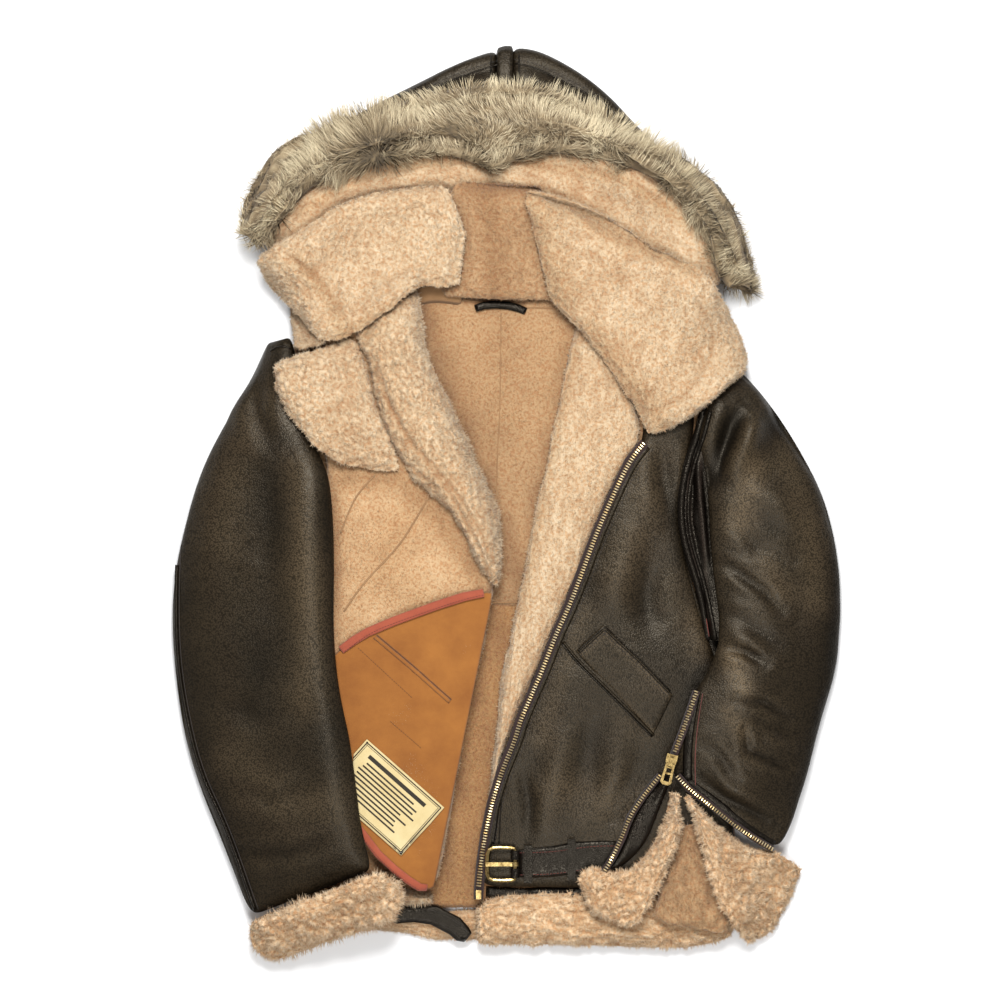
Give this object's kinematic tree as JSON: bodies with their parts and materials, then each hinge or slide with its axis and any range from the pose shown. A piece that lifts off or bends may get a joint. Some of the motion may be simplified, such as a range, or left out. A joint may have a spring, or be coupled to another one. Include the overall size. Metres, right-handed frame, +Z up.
{
  "type": "hooded shearling coat",
  "caption": "Waist-length hooded shearling flight jacket laid flat and open, with fur-trimmed hood, pile collar, zip front, hem belt and one unzipped pile cuff.",
  "frame": {"origin": "middle of the coat's footprint on the surface that it lies on", "axes": "+Y from the hem to the hood, +X to the wearer's left front (viewer's right), +Z up out of the surface"},
  "size_m": [0.6629, 0.9138, 0.0806],
  "materials": {
    "leather_brown": "dark brown sheepskin nappa, softly creased",
    "leather_black": "near-black smooth leather",
    "pile_cream": "cream sheepskin pile, long and curled",
    "lining": "tan sheepskin pile, clipped short",
    "hood_fur_grey": "grey-tan long fur with dark roots",
    "pocket_canvas": "orange-tan chamois cloth",
    "binding_salmon": "salmon braid binding",
    "label_cream": "cream sewn label",
    "brass_aged": "aged brass",
    "zip_tape_dark": "dark woven zip tape"
  },
  "bodies": {
    "coat": {"back_upper": "lining", "back_lower": "lining", "back_hem": "pile_cream", "hood_left": "leather_brown", "hood_gusset": "leather_brown", "hood_right": "leather_brown", "hanger_loop": "leather_black", "belt_tip": "leather_black", "hood_facing": "pile_cream", "wind_flap": "pile_cream", "front_left": "leather_brown", "front_left_hem": "pile_cream", "front_right": "pile_cream", "front_right_hem": "pile_cream", "pocket_welt": "leather_brown", "zip_tape": "zip_tape_dark", "map_pocket": "pocket_canvas", "binding_top": "binding_salmon", "binding_bottom": "binding_salmon", "label": "label_cream", "belt_strap": "leather_black", "belt_keeper": "leather_black", "belt_loop": "leather_black", "buckle_fold_upper": "leather_black", "buckle_fold_lower": "leather_black", "zip_pin": "brass_aged", "sleeve_left_under": "leather_brown", "sleeve_right_under": "leather_brown", "sleeve_left_top": "leather_brown", "sleeve_right_top": "leather_brown", "underarm_gusset": "leather_black", "cuff_left_under": "pile_cream", "cuff_left_top": "pile_cream", "cuff_right_back": "pile_cream", "cuff_gusset": "leather_black", "cuff_flap_left": "pile_cream", "cuff_flap_right": "pile_cream", "cuff_tape_closed": "zip_tape_dark", "cuff_tape_left": "zip_tape_dark", "cuff_tape_right": "zip_tape_dark", "zip_slider": "brass_aged", "lapel": "pile_cream", "lapel_tip": "pile_cream", "collar_stand": "pile_cream", "collar_back": "pile_cream", "collar_left": "pile_cream", "collar_right": "pile_cream", "hood_fur": "hood_fur_grey"},
    "buckle": {"buckle_frame": "brass_aged"},
    "prong": {"buckle_prong": "brass_aged"},
    "pull": {"zip_pull": "brass_aged"}
  },
  "joints": [
    {"name": "buckle_hinge", "type": "hinge", "parent": "coat", "child": "buckle", "pos_m": [0.011, -0.357, 0.02898], "axis": [0, 1, 0], "range_deg": [0, 80]},
    {"name": "prong_hinge", "type": "hinge", "parent": "buckle", "child": "prong", "pos_m": [0.011, -0.357, 0.02898], "axis": [0, 1, 0], "range_deg": [0, 60]},
    {"name": "pull_hinge", "type": "hinge", "parent": "coat", "child": "pull", "pos_m": [0.16468, -0.25709, 0.04816], "axis": [-0.9664, 0.2571, 0], "range_deg": [0, 130]}
  ]
}
